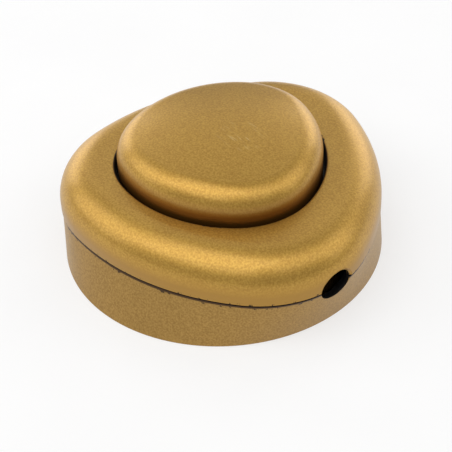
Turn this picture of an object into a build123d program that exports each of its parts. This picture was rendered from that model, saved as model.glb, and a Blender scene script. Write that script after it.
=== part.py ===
from build123d import *
import math
import os

# In-line foot switch for a lamp cord. Millimetres, +Z up.
# The origin is on the floor, at the centre of the round foot. The case is a rounded triangle over that
# round foot, with one mirror line. Each piece is drawn with the mirror line along +X, and all of them are
# turned together at the end, so that one cord leaves along +X and the other along +Y.
mirror_line_angle = 45.0

# Case outline at the seam, about the case's own centre
case_side_reach = 28.95
case_corner_bulge = 4.1
case_corner_radius = 20.5
case_centre_x = 1.8
foot_spread = 2.3

# Case heights and walls
seam_height = 10.1
case_height = 19.0
case_edge_radius = 7.0
case_wall = 2.0
floor_thickness = 2.0
roof_thickness = 2.2
foot_edge = 0.15
seam_gap = 0.45
seam_step = 0.2
lip_height = 1.0
lip_clearance = 0.1

# Opening in the cover, about the button's centre
opening_side_reach = 19.2
opening_corner_bulge = 1.65
opening_corner_radius = 15.0
opening_edge = 0.6
collar_wall = 1.2
collar_depth = 1.6
button_centre_x = 0.84

# Button
button_gap = 0.5
button_height = 27.6
button_dome_radius = 67.0
button_edge_radius = 5.1
button_wall = 1.8
crown_thickness = 2.0
flange_width = 1.4
flange_thickness = 1.4
stop_clearance = 0.1
rib_count = 6
rib_width = 1.2
rib_length = 20.0
rib_above_seat = 1.0
spring_collar = 1.2
stem_socket_wall = 2.0
travel = 3.5

# Cord entries and clamps, on lines at 45 degrees to each side of the mirror line
cord_line_angle = 45.0
cord_line_offset = 2.33
cord_hole_width = 7.0
cord_hole_height = 5.6
cord_mouth_beyond_side = 4.75
cord_mouth_flare = 0.5
cord_hole_wall = 1.2
cord_hole_recess = 0.8
clamp_to_wall = 0.75
clamp_width = 4.8
clamp_corner_radius = 1.5
clamp_edge = 0.4
clamp_length = 16.0
clamp_thickness = 2.0
clamp_ridge = 0.6
clamp_ridge_spread = 1.3
clamp_ridge_length = 6.0
clamp_screw_spread = 5.6
saddle_height = 6.0
cord_gap = 5.2
clamp_post_radius = 2.0
saddle_width = 4.2

# Case screws, on the three sides of the case
case_screw_to_wall = 2.65
screw_well_radius = 3.2
screw_well_depth = 3.2
screw_bridge = 2.2
boss_wall = 0.9
boss_radius = 2.8
boss_sunk = 0.5

# Mechanism: a pusher with eight sloping teeth turns a contact carrier with eight matching ones
tooth_count = 8
turn_per_stroke = 40.0
teeth_inner_radius = 4.2
carrier_roof_height = 7.0
carrier_roof = 1.0
carrier_clearance = 0.35
carrier_hub_wall = 0.7
teeth_clearance = 0.2
pivot_radius = 1.5
pivot_height = 9.0
pivot_clearance = 0.08
guide_bore = 7.35
guide_wall = 2.0
guide_clearance = 0.1
guide_plate_rim = 0.95
guide_plate_bottom = 4.2
guide_plate_thickness = 1.6
guide_height = 14.4
guide_ear_reach = 3.1
guide_ear_radius = 3.2
guide_pillar_radius = 3.0
guide_ear_angles = (45.0, -45.0, 180.0)
key_width = 2.0
key_length = 1.6
key_depth = 2.0
key_root = 0.1
key_clearance = 0.2
key_end_clearance = 0.5
key_angles = (0.0, 120.0, 240.0)
plunger_web = 1.6
stem_radius = 3.55
stem_clearance = 0.05
stem_length = 6.0
stem_end_clearance = 0.1

# Springs
button_spring_clearance = 1.0
button_spring_wire = 1.1
button_spring_turns = 5
spring_seat_height = 19.5
contact_spring_radius = 2.75
contact_spring_wire = 0.5
contact_spring_turns = 2.5
contact_spring_clearance = 0.75
wire_sides = 6

# Contacts and terminals
strip_width = 4.2
strip_thickness = 0.8
tip_distance = 5.0
fixed_tip_radius = 1.5
fixed_tip_height = 0.6
bridge_tip_radius = 1.2
bridge_tip_height = 0.3
contact_gap = 0.05
bridge_width = 3.4
bridge_thickness = 0.6
bridge_reach = 6.5
bridge_ring = 2.2
bridge_hole_clearance = 0.3
bridge_tab_height = 1.1
bridge_tab_width = 2.0
tab_side_clearance = 0.15
tab_end_clearance = 0.05
strip_beyond_tip = 0.6
strip_upstand = 4.4
block_size = 5.6
block_height = 5.2
block_edge = 0.3
block_margin = 0.8
wire_tunnel_radius = 1.4
wire_tunnel_height = 2.2
link_clearance = 0.2
link_length = 18.0
link_tunnel_length = 6.5
link_screw_spread = 5.4
pocket_wall = 1.0
pocket_height = 4.0
pocket_clearance = 0.15
pocket_back_height = 5.0
link_pocket_length = 6.0

# Edges shorter than this join the arcs of an outline, and aren't rounded
short_edge = 3.0

# Screws: shank radius, head radius, head height, slot width, slot depth
case_screw = (1.45, 2.75, 1.8, 0.7, 0.9)
clamp_screw = (1.3, 2.4, 1.6, 0.6, 0.8)
guide_screw = (1.1, 2.1, 1.5, 0.6, 0.7)
terminal_screw = (1.45, 2.1, 1.2, 0.6, 0.6)
screw_fit = 0.02
screw_passage = 0.2
terminal_screw_length = 2.0
screw_end_gap = 0.6
guide_screw_bite = 0.8
clamp_screw_bite = 5.0
pilot_end_gap = 0.2

opening_outline = (opening_side_reach + opening_corner_bulge, opening_side_reach, opening_corner_radius)
case_outline = (case_side_reach + case_corner_bulge, case_side_reach, case_corner_radius)
foot_radius = case_side_reach + foot_spread
base_top = seam_height - seam_gap / 2
cover_bottom = seam_height + seam_gap / 2
carrier_radius = guide_bore - carrier_clearance
button_spring_radius = guide_bore + guide_wall + button_spring_clearance + button_spring_wire / 2
guide_plate_radius = button_spring_radius + button_spring_wire / 2 + guide_plate_rim
guide_ear_circle = guide_plate_radius + guide_ear_reach
case_screw_circle = case_side_reach - case_wall - case_screw_to_wall
clamp_distance = case_side_reach - case_wall - clamp_to_wall
cord_mouth = case_side_reach + cord_mouth_beyond_side
tooth_pitch = 360.0 / tooth_count
slope = travel / turn_per_stroke
tooth_height = slope * tooth_pitch
plunger_teeth_bottom = carrier_roof_height + teeth_clearance + travel
plunger_web_bottom = plunger_teeth_bottom + tooth_height
plunger_top = plunger_web_bottom + plunger_web
fixed_tip_top = floor_thickness + strip_thickness + fixed_tip_height
bridge_bottom = fixed_tip_top + contact_gap + bridge_tip_height
bridge_top = bridge_bottom + bridge_thickness
guide_plate_top = guide_plate_bottom + guide_plate_thickness
roof_underside = case_height - roof_thickness
collar_bottom = roof_underside - collar_depth
flange_top = collar_bottom - stop_clearance
flange_bottom = flange_top - flange_thickness
clamp_underside = saddle_height + cord_gap
clamp_screw_end = clamp_underside - clamp_screw_bite
guide_screw_end = floor_thickness - guide_screw_bite
contact_spring_top = carrier_roof_height - carrier_roof
boss_bridge_top = screw_well_depth + screw_bridge
case_screw_end = roof_underside - screw_end_gap
block_distance = guide_plate_radius + block_margin + block_size / 2
boss_face = case_centre_x + case_screw_circle - screw_well_radius - boss_wall
link_distance = boss_face - link_clearance - block_size / 2


def point(radius, degrees, x=0.0):
    """A point at a radius and angle about a centre on the mirror line."""
    turn = math.radians(degrees)
    return x + radius * math.cos(turn), radius * math.sin(turn)


def tangent_angle(corner_reach, side_reach, corner_radius):
    """Radius and angle of the point where the arc of a corner that lies on +X meets the next side's arc."""
    centre = corner_reach - corner_radius
    side_radius = (centre**2 + side_reach**2 - centre * side_reach - corner_radius**2) / (
        2 * side_reach - 2 * corner_radius - centre
    )
    side_x, side_y = point(side_radius - side_reach, 240)
    run = math.hypot(centre - side_x, side_y)
    x = side_x + side_radius * (centre - side_x) / run
    y = side_y - side_radius * side_y / run
    return math.hypot(x, y), math.degrees(math.atan2(y, x))


def six_arcs(corner_reach, side_reach, join_radius, join_angle, x, z):
    """A face of three corner arcs and three side arcs, with one corner towards -X."""
    arcs = []
    for corner in (180, 300, 420):
        ends = [point(join_radius, corner + turn, x) for turn in (-join_angle, join_angle, 120 - join_angle)]
        nose = point(corner_reach, corner, x)
        middle = point(side_reach, corner + 60, x)
        arcs.append(ThreePointArc((*ends[0], z), (*nose, z), (*ends[1], z)))
        arcs.append(ThreePointArc((*ends[1], z), (*middle, z), (*ends[2], z)))
    return make_face(Wire(arcs).edges())


def triangle(outline, inset, x, z=0.0):
    """A rounded triangle, moved inwards all round by the inset."""
    corner_reach, side_reach, corner_radius = (size - inset for size in outline)
    join_radius, join_angle = tangent_angle(corner_reach, side_reach, corner_radius)
    return six_arcs(corner_reach, side_reach, join_radius, join_angle, x, z)


def foot(radius, z=0.0):
    """The foot's circle in six arcs, which match those of the case outline."""
    join_angle = tangent_angle(*case_outline)[1]
    return six_arcs(radius, radius, radius, join_angle, 0.0, z)


def prism(face, bottom, top):
    """A face drawn at height 0, drawn out from one height to another."""
    return extrude(Pos(0, 0, bottom) * face, amount=top - bottom, dir=(0, 0, 1))


def rod(radius, bottom, top, x=0.0, y=0.0):
    """An upright cylinder."""
    return Pos(x, y, bottom) * Cylinder(radius, top - bottom, align=(Align.CENTER, Align.CENTER, Align.MIN))


def block(length, width, bottom, top, x=0.0, y=0.0):
    """An upright block about a centre."""
    box = Box(length, width, top - bottom, align=(Align.CENTER, Align.CENTER, Align.MIN))
    return Pos(x, y, bottom) * box


def tube(inner, outer, bottom, top, x=0.0, y=0.0):
    """An upright ring."""
    return rod(outer, bottom, top, x, y) - rod(inner, bottom, top, x, y)


def top_edges(body, height):
    """The edges of a body that lie at or above a height."""
    return body.edges().filter_by(lambda edge: edge.bounding_box().min.Z > height - 0.01)


def foot_body(inset, bottom, top):
    """The tapering body between the round foot and the seam, moved inwards by the inset."""
    seam = triangle(case_outline, inset, case_centre_x, base_top)
    whole = loft([foot(foot_radius - inset), seam], ruled=True)
    return whole & rod(2 * foot_radius, bottom, top)


def cover_body(inset, bottom, top, edge):
    """The cover's solid form, with its wide rounded edge."""
    body = prism(triangle(case_outline, inset, case_centre_x), bottom, top)
    return fillet(top_edges(body, top), edge)


def pillow(inset, bottom, top, dome, edge):
    """The button's solid form: a rounded triangle under a shallow dome, with a soft rim."""
    body = prism(triangle(opening_outline, button_gap + inset, button_centre_x), bottom, top)
    body = body & Pos(button_centre_x, 0, top - dome) * Sphere(dome)
    rim = top_edges(body, (bottom + top) / 2).filter_by(lambda edge: edge.length > short_edge)
    return fillet(rim, edge)


def at_cord(side, piece):
    """Turns a piece drawn along +X at a cord, with the cord's line at y = 0, to its own entry."""
    return Rot(0, 0, side * cord_line_angle) * Pos(0, side * cord_line_offset, 0) * piece


def cord_hole(side):
    """The oval hole for one cord, half of it in each shell: recessed from inside, with a flared mouth."""

    def oval(x, growth):
        place = Plane(origin=(x, 0, seam_height), x_dir=(0, 1, 0), z_dir=(1, 0, 0))
        return place * Ellipse(cord_hole_width / 2 + growth, cord_hole_height / 2 + growth)

    start = clamp_distance + clamp_width / 2 + 1
    neck = cord_mouth - cord_mouth_flare
    hole = extrude(oval(start, 0.0), amount=neck - start)
    hole += loft([oval(neck, 0.0), oval(cord_mouth + 1, cord_mouth_flare + 1)])
    hole += extrude(oval(start, cord_hole_recess), amount=cord_mouth - cord_hole_wall - start)
    return at_cord(side, hole)


def case_screw_places():
    return [point(case_screw_circle, degrees, case_centre_x) for degrees in (0, 120, 240)]


def screw(sizes, seat, end, x, y, up=1):
    """A screw with a slotted head on its seat. The shank runs from the seat to the end height."""
    shank, head, height, slot, depth = sizes
    low, high = sorted((seat, end))
    body = rod(shank, low, high, x, y)
    low, high = sorted((seat, seat + up * height))
    body += rod(head, low, high, x, y)
    face = seat + up * height
    low, high = sorted((face, face - up * depth))
    return body - block(2 * head + 1, slot, low, high, x, y)


def teeth(inner, outer, bottom, phase):
    """A ring of sawteeth whose tops climb with the angle, each one a slice of one helicoid."""
    reach = outer + 1
    sector = make_face(
        [
            Line((inner - 1, 0), (reach, 0)),
            CenterArc((0, 0), reach, 0, tooth_pitch),
            Line(point(reach, tooth_pitch), point(inner - 1, tooth_pitch)),
            CenterArc((0, 0), inner - 1, tooth_pitch, -tooth_pitch),
        ]
    )
    wedge = Solid.extrude_linear_with_rotation(sector.face(), (0, 0, 0), (0, 0, tooth_height), tooth_pitch)
    slice_face = make_face(
        [
            Line((inner, 0), (outer, 0)),
            CenterArc((0, 0), outer, 0, tooth_pitch),
            Line(point(outer, tooth_pitch), point(inner, tooth_pitch)),
            CenterArc((0, 0), inner, tooth_pitch, -tooth_pitch),
        ]
    )
    tooth = Part() + wedge & prism(slice_face, 0, tooth_height)
    ring = Part()
    for turn in range(tooth_count):
        ring += Rot(0, 0, phase + turn * tooth_pitch) * tooth
    return Pos(button_centre_x, 0, bottom) * ring


def coil(radius, wire, turns, bottom, top):
    """A coil spring that stands between two heights. Its wire is drawn with few flats, to stay light."""
    height = top - bottom - wire
    path = Helix(height / turns, height, radius)
    section = Plane(origin=path @ 0, z_dir=path % 0) * RegularPolygon(wire / 2, wire_sides)
    spring = sweep(section, path=path, is_frenet=True)
    return Pos(button_centre_x, 0, bottom + wire / 2) * spring


def base_shell():
    body = loft(
        [
            foot(foot_radius - foot_edge),
            foot(foot_radius, foot_edge),
            triangle(case_outline, seam_step, case_centre_x, base_top),
        ],
        ruled=True,
    )
    lip_top = seam_height + lip_height
    body += prism(triangle(case_outline, case_wall / 2, case_centre_x), base_top, lip_top)
    hollow = loft(
        [
            foot(foot_radius - case_wall),
            triangle(case_outline, case_wall, case_centre_x, base_top),
            triangle(case_outline, case_wall, case_centre_x, lip_top),
        ],
        ruled=True,
    )
    body -= hollow & rod(2 * foot_radius, floor_thickness, lip_top)
    inner = rod(pivot_radius, floor_thickness, pivot_height, button_centre_x)
    for degrees in guide_ear_angles:
        x, y = point(guide_ear_circle, degrees, button_centre_x)
        inner += rod(guide_pillar_radius, floor_thickness, guide_plate_bottom, x, y)
    for x, y in case_screw_places():
        inner += rod(screw_well_radius + boss_wall, floor_thickness, boss_bridge_top, x, y)
        inner += rod(boss_radius, floor_thickness, base_top, x, y)
    for side in (-1, 1):
        posts = block(saddle_width, 2 * clamp_screw_spread, floor_thickness, saddle_height)
        for end in (-1, 1):
            posts += rod(clamp_post_radius, floor_thickness, clamp_underside, 0, end * clamp_screw_spread)
        inner += at_cord(side, Pos(clamp_distance, 0, 0) * posts)
        pocket_reach = block_size / 2 + pocket_clearance + pocket_wall / 2
        y = side * (block_distance + pocket_reach + strip_thickness + pocket_clearance)
        inner += block(block_size, pocket_wall, floor_thickness, pocket_back_height, button_centre_x, y)
        for end in (-1, 1):
            x = button_centre_x + end * pocket_reach
            inner += block(pocket_wall, block_size, floor_thickness, pocket_height, x, side * block_distance)
        x = link_distance + side * pocket_reach
        inner += block(pocket_wall, link_pocket_length, floor_thickness, pocket_height, x)
    room = foot_body(case_wall - boss_sunk, 0, base_top)
    room += prism(triangle(case_outline, case_wall + lip_clearance, case_centre_x), base_top, clamp_underside)
    body += inner & room
    for x, y in case_screw_places():
        body -= rod(screw_well_radius, 0, screw_well_depth, x, y)
        body -= rod(case_screw[0] + screw_passage, 0, lip_top, x, y)
    for degrees in guide_ear_angles:
        x, y = point(guide_ear_circle, degrees, button_centre_x)
        body -= rod(guide_screw[0] + screw_fit, guide_screw_end - pilot_end_gap, guide_plate_bottom, x, y)
    for side in (-1, 1):
        for end in (-1, 1):
            pilot = rod(clamp_screw[0] + screw_fit, clamp_screw_end - pilot_end_gap, clamp_underside)
            body -= at_cord(side, Pos(clamp_distance, end * clamp_screw_spread, 0) * pilot)
        body -= cord_hole(side)
    return body


def top_cover():
    body = cover_body(0.0, cover_bottom, case_height, case_edge_radius)
    body -= cover_body(case_wall, cover_bottom - 1, roof_underside, case_edge_radius - case_wall)
    collar = triangle(opening_outline, -collar_wall, button_centre_x)
    body += prism(collar, collar_bottom, roof_underside + 1)
    inside_edge = case_edge_radius - case_wall + boss_sunk
    bosses = Part()
    for x, y in case_screw_places():
        bosses += rod(boss_radius, base_top, roof_underside + 1, x, y)
    body += bosses & cover_body(case_wall - boss_sunk, base_top, roof_underside + boss_sunk, inside_edge)
    rebate = triangle(case_outline, case_wall / 2 - lip_clearance, case_centre_x)
    rebate -= triangle(case_outline, case_wall + lip_clearance, case_centre_x)
    body -= prism(rebate, seam_height - 1, seam_height + lip_height + lip_clearance)
    body -= prism(triangle(opening_outline, 0.0, button_centre_x), collar_bottom - 1, case_height + 1)
    rim = top_edges(body, case_height).filter_by(lambda edge: edge.length > short_edge)
    body = fillet(rim, opening_edge)
    for x, y in case_screw_places():
        body -= rod(case_screw[0] + screw_fit, seam_height - 1, case_screw_end + pilot_end_gap, x, y)
    for side in (-1, 1):
        body -= cord_hole(side)
    return body


def foot_button():
    body = pillow(0.0, flange_bottom, button_height, button_dome_radius, button_edge_radius)
    lip = triangle(opening_outline, -flange_width, button_centre_x)
    body += prism(lip, flange_bottom, flange_top)
    crown = button_height - crown_thickness
    inner_edge = button_edge_radius - button_wall
    body -= pillow(button_wall, flange_bottom - 1, crown, button_dome_radius - crown_thickness, inner_edge)
    inner = rod(stem_radius + stem_socket_wall, plunger_top, button_height)
    collar_inner = button_spring_radius - spring_collar
    collar_outer = button_spring_radius + spring_collar
    inner += tube(collar_inner, collar_outer, spring_seat_height, button_height)
    low = spring_seat_height + rib_above_seat
    for rib in range(rib_count):
        wall = block(rib_length, rib_width, low, button_height, rib_length / 2)
        inner += Rot(0, 0, rib * 360 / rib_count) * wall
    top = button_height - crown_thickness / 2
    core = pillow(button_wall / 2, flange_bottom, top, button_dome_radius, inner_edge)
    body += Pos(button_centre_x, 0, 0) * inner & core
    return body - rod(stem_radius + stem_clearance, plunger_top, plunger_top + stem_length, button_centre_x)


def plunger():
    outer = guide_bore - guide_clearance
    body = tube(teeth_inner_radius, outer, plunger_teeth_bottom, plunger_web_bottom, button_centre_x)
    body -= teeth(teeth_inner_radius - 0.5, outer + 0.5, plunger_teeth_bottom, 0.0)
    body += rod(outer, plunger_web_bottom, plunger_top, button_centre_x)
    body += rod(stem_radius, plunger_top, plunger_top + stem_length - stem_end_clearance, button_centre_x)
    length = key_length + outer - carrier_radius - key_root
    middle = carrier_radius + key_root + length / 2
    for degrees in key_angles:
        key = block(length, key_width, plunger_web_bottom - key_depth, plunger_top, middle)
        body += Pos(button_centre_x, 0, 0) * Rot(0, 0, degrees) * key
    return body


def contact_carrier():
    body = rod(carrier_radius, bridge_top, carrier_roof_height, button_centre_x)
    body += teeth(teeth_inner_radius, carrier_radius, carrier_roof_height, tooth_pitch - turn_per_stroke)
    pocket = contact_spring_radius + contact_spring_wire / 2 + contact_spring_clearance
    hub = pivot_radius + carrier_hub_wall
    body -= tube(hub, pocket, bridge_top, contact_spring_top, button_centre_x)
    body -= rod(pivot_radius + pivot_clearance, bridge_top, carrier_roof_height, button_centre_x)
    width = bridge_tab_width + 2 * tab_side_clearance
    length = bridge_thickness + 2 * tab_end_clearance
    top = bridge_top + bridge_tab_height + 2 * tab_end_clearance
    for side in (-1, 1):
        y = side * (bridge_reach - bridge_thickness / 2)
        body -= block(width, length, bridge_top, top, button_centre_x, y)
    return body


def contact_bridge():
    body = rod(pivot_radius + bridge_ring, bridge_bottom, bridge_top, button_centre_x)
    body += block(bridge_width, 2 * bridge_reach, bridge_bottom, bridge_top, button_centre_x)
    for side in (-1, 1):
        y = side * (bridge_reach - bridge_thickness / 2)
        top = bridge_top + bridge_tab_height
        body += block(bridge_tab_width, bridge_thickness, bridge_top, top, button_centre_x, y)
    return body - rod(pivot_radius + bridge_hole_clearance, bridge_bottom, bridge_top, button_centre_x)


def bridge_tips():
    low = bridge_bottom - bridge_tip_height
    places = [(button_centre_x, side * tip_distance) for side in (-1, 1)]
    return [rod(bridge_tip_radius, low, bridge_bottom, x, y) for x, y in places]


def fixed_tips():
    low = floor_thickness + strip_thickness
    places = [(button_centre_x, side * tip_distance) for side in (-1, 1)]
    return [rod(fixed_tip_radius, low, fixed_tip_top, x, y) for x, y in places]


def line_contact(side):
    """A brass strip from under the carrier to its terminal, turned up behind the block."""
    outer = block_distance + block_size / 2 + pocket_clearance + strip_thickness
    inner = tip_distance - fixed_tip_radius - strip_beyond_tip
    low = floor_thickness
    middle = (outer + inner) / 2
    body = block(strip_width, outer - inner, low, low + strip_thickness, 0, middle)
    body += block(strip_width, strip_thickness, low, low + strip_upstand, 0, outer - strip_thickness / 2)
    return Pos(button_centre_x, 0, 0) * (body if side > 0 else mirror(body, Plane.XZ))


def terminal_block(side):
    """A brass block with a tunnel for the wire and a threaded hole for its screw."""
    low = floor_thickness + strip_thickness
    body = block(block_size, block_size, low, low + block_height)
    body = chamfer(body.edges(), block_edge)
    axis = low + wire_tunnel_height
    body -= Pos(0, 0, axis) * Rot(0, 90, 0) * Cylinder(wire_tunnel_radius, block_size + 1)
    body -= rod(terminal_screw[0] + screw_fit, axis, low + block_height + 1)
    return Pos(button_centre_x, side * block_distance, 0) * body


def neutral_link():
    """A brass bar that joins the two cords' other cores, with a tunnel and a screw at each end."""
    body = block(block_size, link_length, floor_thickness, floor_thickness + block_height)
    body = chamfer(body.edges(), block_edge)
    axis = floor_thickness + wire_tunnel_height
    for side in (-1, 1):
        tunnel = Rot(90, 0, 0) * Cylinder(wire_tunnel_radius, link_tunnel_length)
        body -= Pos(0, side * (link_length - link_tunnel_length) / 2, axis) * tunnel
        body -= rod(terminal_screw[0] + screw_fit, axis, axis + block_height, 0, side * link_screw_spread)
    return Pos(link_distance, 0, 0) * body


def terminal_screws():
    link_seat = floor_thickness + block_height
    block_seat = link_seat + strip_thickness
    screws = []
    for side in (-1, 1):
        for seat, x, y in (
            (block_seat, button_centre_x, side * block_distance),
            (link_seat, link_distance, side * link_screw_spread),
        ):
            screws.append(screw(terminal_screw, seat, seat - terminal_screw_length, x, y))
    return screws


def mechanism_guide():
    body = rod(guide_plate_radius, guide_plate_bottom, guide_plate_top, button_centre_x)
    body += rod(guide_bore + guide_wall, guide_plate_bottom, guide_height, button_centre_x)
    for degrees in guide_ear_angles:
        x, y = point(guide_ear_circle, degrees, button_centre_x)
        body += rod(guide_ear_radius, guide_plate_bottom, guide_plate_top, x, y)
        reach = guide_ear_circle
        arm = block(reach, 2 * guide_ear_radius, guide_plate_bottom, guide_plate_top, reach / 2)
        body += Pos(button_centre_x, 0, 0) * Rot(0, 0, degrees) * arm
        body -= rod(guide_screw[0] + screw_passage, guide_plate_bottom, guide_plate_top, x, y)
    body -= rod(guide_bore, guide_plate_bottom, guide_height, button_centre_x)
    slot_bottom = plunger_web_bottom - key_depth - travel - key_end_clearance
    width = key_width + 2 * key_clearance
    for degrees in key_angles:
        slot = block(guide_wall + 2, width, slot_bottom, guide_height, guide_bore + guide_wall / 2)
        body -= Pos(button_centre_x, 0, 0) * Rot(0, 0, degrees) * slot
    return body


def guide_screws():
    places = [point(guide_ear_circle, degrees, button_centre_x) for degrees in guide_ear_angles]
    return [screw(guide_screw, guide_plate_top, guide_screw_end, x, y) for x, y in places]


def cord_clamp(side):
    """A bar across the cord, with two ridges that bite and a screw hole at each end."""
    top = clamp_underside + clamp_thickness
    bar = prism(RectangleRounded(clamp_width, clamp_length, clamp_corner_radius), clamp_underside, top)
    bar = chamfer(bar.edges().group_by(Axis.Z)[-1], clamp_edge)
    ridge = Plane.XZ * Polygon((-clamp_ridge, 0.0), (clamp_ridge, 0.0), (0.0, -clamp_ridge), align=None)
    ridge = extrude(ridge, amount=clamp_ridge_length / 2, both=True)
    for end in (-1, 1):
        bar += Pos(end * clamp_ridge_spread, 0, clamp_underside) * ridge
        bar -= rod(clamp_screw[0] + screw_passage, clamp_underside, top, 0, end * clamp_screw_spread)
    return at_cord(side, Pos(clamp_distance, 0, 0) * bar)


def clamp_screws():
    seat = clamp_underside + clamp_thickness
    screws = []
    for side in (-1, 1):
        for end in (-1, 1):
            body = screw(clamp_screw, seat, clamp_screw_end, clamp_distance, end * clamp_screw_spread)
            screws.append(at_cord(side, body))
    return screws


def case_screws():
    return [screw(case_screw, screw_well_depth, case_screw_end, x, y, -1) for x, y in case_screw_places()]


pieces = {
    "base_shell": base_shell(),
    "top_cover": top_cover(),
    "foot_button": foot_button(),
    "plunger": plunger(),
    "button_spring": coil(
        button_spring_radius, button_spring_wire, button_spring_turns, guide_plate_top, spring_seat_height
    ),
    "contact_carrier": contact_carrier(),
    "contact_spring": coil(
        contact_spring_radius, contact_spring_wire, contact_spring_turns, bridge_top, contact_spring_top
    ),
    "contact_bridge": contact_bridge(),
    "bridge_tips": bridge_tips(),
    "fixed_tips": fixed_tips(),
    "line_contact_in": line_contact(-1),
    "line_contact_out": line_contact(1),
    "terminal_blocks": [terminal_block(-1), terminal_block(1)],
    "neutral_link": neutral_link(),
    "terminal_screws": terminal_screws(),
    "mechanism_guide": mechanism_guide(),
    "guide_screws": guide_screws(),
    "cord_clamp_in": cord_clamp(-1),
    "cord_clamp_out": cord_clamp(1),
    "clamp_screws": clamp_screws(),
    "case_screws": case_screws(),
}

os.makedirs("parts", exist_ok=True)
for name, piece in pieces.items():
    solids = piece if isinstance(piece, list) else [piece]
    turned = [Rot(0, 0, mirror_line_angle) * solid for solid in solids]
    shape = turned[0] if len(turned) == 1 else Compound(children=[part.solid() for part in turned])
    export_step(shape, f"parts/{name}.step")
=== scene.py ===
import math
from collections import namedtuple

import bmesh
import bpy
from mathutils import Matrix, Vector

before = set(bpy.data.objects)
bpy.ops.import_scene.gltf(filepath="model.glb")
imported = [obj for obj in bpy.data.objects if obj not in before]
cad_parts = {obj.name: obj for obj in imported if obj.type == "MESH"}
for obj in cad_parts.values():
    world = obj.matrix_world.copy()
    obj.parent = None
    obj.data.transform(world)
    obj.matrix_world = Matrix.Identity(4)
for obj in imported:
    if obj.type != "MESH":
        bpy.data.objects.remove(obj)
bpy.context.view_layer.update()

MM = 0.001

# The case's middle lies this far along X and Y from the foot's centre, which is the origin.
CASE_MIDDLE = 1.27
BUTTON_MIDDLE = 0.6

# A band of height, in mm, where the lacquer differs, as chips and as painted shade: its fading edge, the least noise
# at which it shows, its colour
WearAndShade = namedtuple("WearAndShade", "low high fade least_noise colour")
ALL_OVER = -1.0


def linear(code):
    """An sRGB hex colour as the linear colour that a shader takes."""
    parts = [int(code[place : place + 2], 16) / 255 for place in (1, 3, 5)]
    return [part / 12.92 if part <= 0.04045 else ((part + 0.055) / 1.055) ** 2.4 for part in parts] + [1.0]


def in_metres(*place_mm):
    return [size * MM for size in place_mm]


def direction(azimuth, elevation):
    """The way to a point seen at these angles, in degrees. An azimuth of 0 is -Y, and 90 is +X."""
    turn, height = math.radians(azimuth), math.radians(elevation)
    return Vector((math.sin(turn) * math.cos(height), -math.cos(turn) * math.cos(height), math.sin(height)))


def add(tree, kind, settings=None, links=None):
    """Adds a node, with its settings by name and its inputs by socket. A hex colour is made linear."""
    node = tree.nodes.new(kind)
    for name, value in (settings or {}).items():
        if isinstance(name, int) or name in node.inputs:
            node.inputs[name].default_value = linear(value) if isinstance(value, str) else value
        else:
            setattr(node, name, value)
    for name, source in (links or {}).items():
        tree.links.new(source, node.inputs[name])
    return node


def new_material(name):
    """A material and its empty node tree."""
    material = bpy.data.materials.new(name)
    material.use_nodes = True
    material.node_tree.nodes.clear()
    return material, material.node_tree


def finish_material(tree, shader):
    """Links the finished shader to the material's output."""
    tree.links.new(shader.outputs[0], add(tree, "ShaderNodeOutputMaterial").inputs["Surface"])


def grain(tree, size_mm, detail=2.0, roughness=0.5, stretch=(1, 1, 1)):
    """Noise on object coordinates, with features of about this size."""
    place = add(tree, "ShaderNodeTexCoord")
    turned = add(tree, "ShaderNodeMapping", {"Scale": stretch}, {"Vector": place.outputs["Object"]})
    return add(
        tree,
        "ShaderNodeTexNoise",
        {"Scale": 1 / (size_mm * MM), "Detail": detail, "Roughness": roughness},
        {"Vector": turned.outputs[0]},
    ).outputs["Fac"]


def band(tree, value, low, high, fade):
    """One between two limits of a value, fading out on each side."""
    rise = add(tree, "ShaderNodeMapRange", {"From Min": low - fade, "From Max": low}, {"Value": value})
    fall = add(tree, "ShaderNodeMapRange", {"From Min": high + fade, "From Max": high}, {"Value": value})
    return add(tree, "ShaderNodeMath", {"operation": "MULTIPLY"}, {0: rise.outputs[0], 1: fall.outputs[0]}).outputs[0]


def facing_out(tree, place, middle):
    """One where the surface faces away from a point inside the shell, and nought on its inner faces."""
    away = add(tree, "ShaderNodeVectorMath", {"operation": "SUBTRACT", 1: middle}, {0: place.outputs["Object"]})
    way = add(tree, "ShaderNodeVectorMath", {"operation": "NORMALIZE"}, {0: away.outputs[0]})
    facing = add(
        tree, "ShaderNodeVectorMath", {"operation": "DOT_PRODUCT"}, {0: way.outputs[0], 1: place.outputs["Normal"]}
    )
    limits = {"From Min": 0.12, "From Max": 0.22}
    return add(tree, "ShaderNodeMapRange", limits, {"Value": facing.outputs["Value"]}).outputs[0]


def scuffs(tree, place, centre):
    """Fine pale strokes along X, 0.4 mm apart and about 4 mm long, which end 5 mm from their centre."""
    strokes = grain(tree, 0.4, 1.0, 0.5, (0.1, 1, 1))
    line = add(tree, "ShaderNodeMapRange", {"From Min": 0.58, "From Max": 0.72, "To Max": 0.55}, {"Value": strokes})
    reach = add(tree, "ShaderNodeVectorMath", {"operation": "DISTANCE", 1: centre}, {0: place.outputs["Object"]})
    limits = {"From Min": 5 * MM, "From Max": 2 * MM}
    near = add(tree, "ShaderNodeMapRange", limits, {"Value": reach.outputs["Value"]})
    return add(tree, "ShaderNodeMath", {"operation": "MULTIPLY"}, {0: near.outputs[0], 1: line.outputs[0]}).outputs[0]


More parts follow.
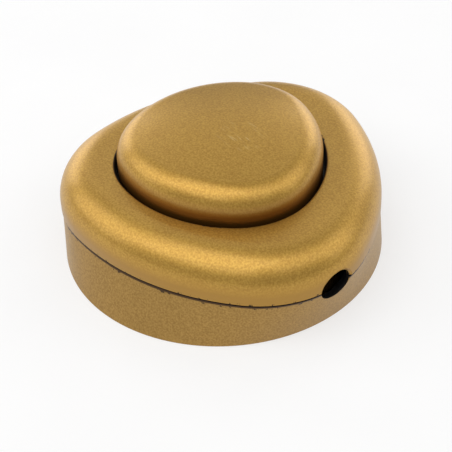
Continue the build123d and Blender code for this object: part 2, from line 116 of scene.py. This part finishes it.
def gold_lacquer(name, light, dark, roughness, metallic, middle, wear_and_shade, scuffed_at=None):
    """ABS sprayed with gold lacquer.

    Metal flake gives a satin, coloured gloss, and the clear film over it a faint white one. The real flake is
    finer than the picture can show, so it is drawn 0.35 mm wide. Inner faces got no lacquer and show dark plastic."""
    material, tree = new_material(name)
    place = add(tree, "ShaderNodeTexCoord")
    height = add(tree, "ShaderNodeSeparateXYZ", None, {0: place.outputs["Object"]}).outputs["Z"]
    flake = grain(tree, 0.35, 1.0)
    cloud = grain(tree, 7.0, 3.0)
    spots = grain(tree, 0.7, 2.0, 0.6)
    orange_peel = grain(tree, 1.6, 2.0)

    mottle = add(tree, "ShaderNodeMath", {"operation": "MULTIPLY_ADD", 1: 0.2}, {0: cloud, 2: flake})
    shade = add(tree, "ShaderNodeMapRange", {"From Min": 0.4, "From Max": 0.8}, {"Value": mottle.outputs[0]})
    colour = add(tree, "ShaderNodeMix", {"data_type": "RGBA", 6: dark, 7: light}, {0: shade.outputs[0]})
    # Each band darkens the lacquer: chips, painted shade on walls, and painted shadow along the seam.
    for part in wear_and_shade:
        near = band(tree, height, part.low * MM, part.high * MM, part.fade * MM)
        limits = {"From Min": part.least_noise, "From Max": part.least_noise + 0.05}
        spot = add(tree, "ShaderNodeMapRange", limits, {"Value": spots})
        worn_and_shaded = add(tree, "ShaderNodeMath", {"operation": "MULTIPLY"}, {0: near, 1: spot.outputs[0]})
        under = {"data_type": "RGBA", 7: part.colour}
        colour = add(tree, "ShaderNodeMix", under, {0: worn_and_shaded.outputs[0], 6: colour.outputs[2]})
    if scuffed_at:
        rubbed = {"data_type": "RGBA", 7: "#ecd08c"}
        colour = add(tree, "ShaderNodeMix", rubbed, {0: scuffs(tree, place, scuffed_at), 6: colour.outputs[2]})
    painted = facing_out(tree, place, middle)
    bare_plastic = {"data_type": "RGBA", 6: "#0d0c0b"}
    colour = add(tree, "ShaderNodeMix", bare_plastic, {0: painted, 7: colour.outputs[2]})

    relief = add(tree, "ShaderNodeMath", {"operation": "MULTIPLY_ADD", 1: 0.3}, {0: flake, 2: orange_peel})
    bump = add(tree, "ShaderNodeBump", {"Strength": 0.5, "Distance": 0.012 * MM}, {"Height": relief.outputs[0]})
    metal = add(tree, "ShaderNodeMath", {"operation": "MULTIPLY", 1: metallic}, {0: painted})
    gloss = add(tree, "ShaderNodeMapRange", {"To Min": roughness - 0.04, "To Max": roughness + 0.04}, {"Value": cloud})
    shader = add(
        tree,
        "ShaderNodeBsdfPrincipled",
        {"Coat Weight": 0.25, "Coat Roughness": 0.2},
        {
            "Base Color": colour.outputs[2],
            "Metallic": metal.outputs[0],
            "Roughness": gloss.outputs[0],
            "Normal": bump.outputs[0],
        },
    )
    finish_material(tree, shader)
    return material


def plain_finish(name, light, dark, roughness, metallic, grain_mm, depth_mm):
    """A moulded, stamped or plated finish: a little mottling, with a fine surface grain."""
    material, tree = new_material(name)
    noise = grain(tree, grain_mm, 3.0)
    colour = add(tree, "ShaderNodeMix", {"data_type": "RGBA", 6: dark, 7: light}, {0: noise})
    bump = add(tree, "ShaderNodeBump", {"Strength": 0.4, "Distance": depth_mm * MM}, {"Height": noise})
    shader = add(
        tree,
        "ShaderNodeBsdfPrincipled",
        {"Metallic": metallic, "Roughness": roughness},
        {"Base Color": colour.outputs[2], "Normal": bump.outputs[0]},
    )
    finish_material(tree, shader)
    return material


# The cover's upright wall and lower shoulder are drawn darker than its top as painted shade. Its edge at the seam has
# small dark chips, which also stand in for the seam's shadow as painted shadow.
cover_gold = gold_lacquer(
    "satin gold painted ABS, cover",
    light="#cda34b",
    dark="#b4883a",
    roughness=0.42,
    metallic=0.8,
    middle=in_metres(CASE_MIDDLE, CASE_MIDDLE, 4.0),
    wear_and_shade=[WearAndShade(9.9, 12.0, 2.5, ALL_OVER, "#ab8238"), WearAndShade(10.3, 10.6, 0.15, 0.6, "#4a3417")],
)
# The button's wall is drawn darker where it goes down into the cover, as painted shade, and shoes have scuffed its
# top.
button_gold = gold_lacquer(
    "satin gold painted ABS, button",
    light="#cda34b",
    dark="#b4883a",
    roughness=0.42,
    metallic=0.8,
    middle=in_metres(BUTTON_MIDDLE, BUTTON_MIDDLE, 14.0),
    wear_and_shade=[WearAndShade(17.0, 20.4, 2.6, ALL_OVER, "#7a501a")],
    scuffed_at=in_metres(5.8, 0.5, 27.3),
)
# The base was sprayed drier, so it is more matt, and its lacquer is drawn darker than the cover's as painted shade.
# Just below the seam it has dark chips, and along the seam a dark line of painted shadow under the cover's edge; the
# chips add to that shadow.
base_gold = gold_lacquer(
    "matt gold painted ABS, base",
    light="#b38d47",
    dark="#997535",
    roughness=0.5,
    metallic=0.7,
    middle=in_metres(CASE_MIDDLE, CASE_MIDDLE, 9.0),
    wear_and_shade=[WearAndShade(9.3, 9.9, 0.15, 0.58, "#4a3417"), WearAndShade(9.6, 10.2, 0.12, ALL_OVER, "#4a3012")],
)
# Moulded nylon: a waxy, half-matt skin; black where glass fibre fills it, and then rougher.
natural_nylon = plain_finish("natural nylon", "#e9e2cf", "#d9d0b8", 0.45, 0.0, 0.8, 0.01)
black_nylon = plain_finish("black glass-filled nylon", "#2a2a2b", "#171718", 0.55, 0.0, 0.4, 0.02)
# Brass strip has the sheen of its rolling; nickel on turned brass is paler and a little brighter.
stamped_brass = plain_finish("stamped brass", "#d8b46a", "#b98f45", 0.28, 1.0, 0.6, 0.004)
plated_brass = plain_finish("nickel-plated brass", "#cfc9bb", "#b3ada0", 0.25, 1.0, 0.5, 0.004)
# Headed silver rivets are the brightest; drawn wire is greyer; zinc on steel is bluish and satin.
silver = plain_finish("silver contact", "#e6e4df", "#cfccc4", 0.22, 1.0, 0.3, 0.003)
spring_wire = plain_finish("drawn spring wire", "#a9abad", "#85878a", 0.3, 1.0, 0.2, 0.003)
zinc_steel = plain_finish("zinc-plated steel", "#c2c5c9", "#9b9fa4", 0.3, 1.0, 0.4, 0.004)

finishes = {
    "top_cover": cover_gold,
    "foot_button": button_gold,
    "base_shell": base_gold,
    "plunger": natural_nylon,
    "mechanism_guide": natural_nylon,
    "contact_carrier": black_nylon,
    "cord_clamp_in": black_nylon,
    "cord_clamp_out": black_nylon,
    "button_spring": spring_wire,
    "contact_spring": spring_wire,
    "contact_bridge": stamped_brass,
    "line_contact_in": stamped_brass,
    "line_contact_out": stamped_brass,
    "bridge_tips": silver,
    "fixed_tips": silver,
    "terminal_blocks": plated_brass,
    "neutral_link": plated_brass,
    "terminal_screws": zinc_steel,
    "clamp_screws": zinc_steel,
    "case_screws": zinc_steel,
    "guide_screws": zinc_steel,
}
for node_name, finish in finishes.items():
    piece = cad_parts[node_name]
    piece.data.materials.clear()
    piece.data.materials.append(finish)


def camera():
    """A long lens at the photograph's angle: 38 degrees up, 49.7 degrees round from the -Y side."""
    distance_mm, roll = 251.6, math.radians(-2.67)
    middle = Vector(in_metres(CASE_MIDDLE, CASE_MIDDLE, 12.7))
    aim = Vector(in_metres(4.16, -2.79, 6.52))
    data = bpy.data.cameras.new("camera")
    data.lens = 103.9
    data.sensor_width = 36.0
    data.clip_start = 0.01
    piece = bpy.data.objects.new("camera", data)
    place = middle + direction(49.7, 38.0) * distance_mm * MM
    turn = (aim - place).to_track_quat("-Z", "Y").to_matrix().to_4x4()
    piece.matrix_world = Matrix.Translation(place) @ turn @ Matrix.Rotation(roll, 4, "Z")
    bpy.context.scene.collection.objects.link(piece)
    bpy.context.scene.camera = piece


def soft_light(name, brightness, size, azimuth, elevation):
    """A square soft box one metre away that looks at the object. A brightness of 1 is that of white paper."""
    data = bpy.data.lights.new(name, "AREA")
    data.energy = brightness * math.pi * size**2
    data.size = size
    piece = bpy.data.objects.new(name, data)
    place = direction(azimuth, elevation)
    turn = (-place).to_track_quat("-Z", "Y").to_matrix().to_4x4()
    piece.matrix_world = Matrix.Translation(place) @ turn
    bpy.context.scene.collection.objects.link(piece)


def seen_directly(tree):
    """One for rays from the camera and for those that gloss and glass send on, and nought for the rest."""
    path = add(tree, "ShaderNodeLightPath")
    seen = path.outputs["Is Camera Ray"]
    for kind in ("Is Glossy Ray", "Is Transmission Ray"):
        seen = add(tree, "ShaderNodeMath", {"operation": "MAXIMUM"}, {0: seen, 1: path.outputs[kind]}).outputs[0]
    return seen


def surround():
    """A dim white world, which fills the shadows."""
    world = bpy.data.worlds.new("surround")
    world.use_nodes = True
    tree = world.node_tree
    tree.nodes.clear()
    fill = add(tree, "ShaderNodeBackground", {"Color": "#ffffff", "Strength": 0.25})
    tree.links.new(fill.outputs[0], add(tree, "ShaderNodeOutputWorld").inputs["Surface"])
    bpy.context.scene.world = world


def white_floor():
    """Matt white card, 3 m wide. Seen directly, 60% of it is plain white, and the rest keeps the shadow."""
    material, tree = new_material("matt white floor")
    card = add(tree, "ShaderNodeMix", {"data_type": "RGBA", 6: "#f6f6f6", 7: "#ffffff"}, {0: grain(tree, 30.0)})
    matt = add(tree, "ShaderNodeBsdfDiffuse", None, {"Color": card.outputs[2]})
    white = add(tree, "ShaderNodeEmission", {"Color": "#ffffff", "Strength": 1.0})
    share = add(tree, "ShaderNodeMath", {"operation": "MULTIPLY", 1: 0.6}, {0: seen_directly(tree)})
    both = add(tree, "ShaderNodeMixShader", None, {0: share.outputs[0], 1: matt.outputs[0], 2: white.outputs[0]})
    finish_material(tree, both)
    mesh = bpy.data.meshes.new("floor")
    shape = bmesh.new()
    bmesh.ops.create_grid(shape, x_segments=1, y_segments=1, size=1.5)
    shape.to_mesh(mesh)
    shape.free()
    mesh.materials.append(material)
    floor = bpy.data.objects.new("floor", mesh)
    bpy.context.scene.collection.objects.link(floor)


camera()
surround()
white_floor()
# Name, brightness, size in metres, azimuth and elevation in degrees
for lamp in (
    ("front left", 1.75, 0.9, 6, 58),
    ("front right", 1.1, 0.7, 88, 56),
    ("back", 0.45, 0.9, 230, 44),
    ("left", 1.5, 0.7, -45, 30),
    ("right", 1.25, 0.7, 140, 34),
    ("back left low", 2.0, 0.6, 264, 10),
    ("back right low", 2.0, 0.6, 196, 10),
):
    soft_light(*lamp)
bpy.context.scene.view_settings.view_transform = "Standard"
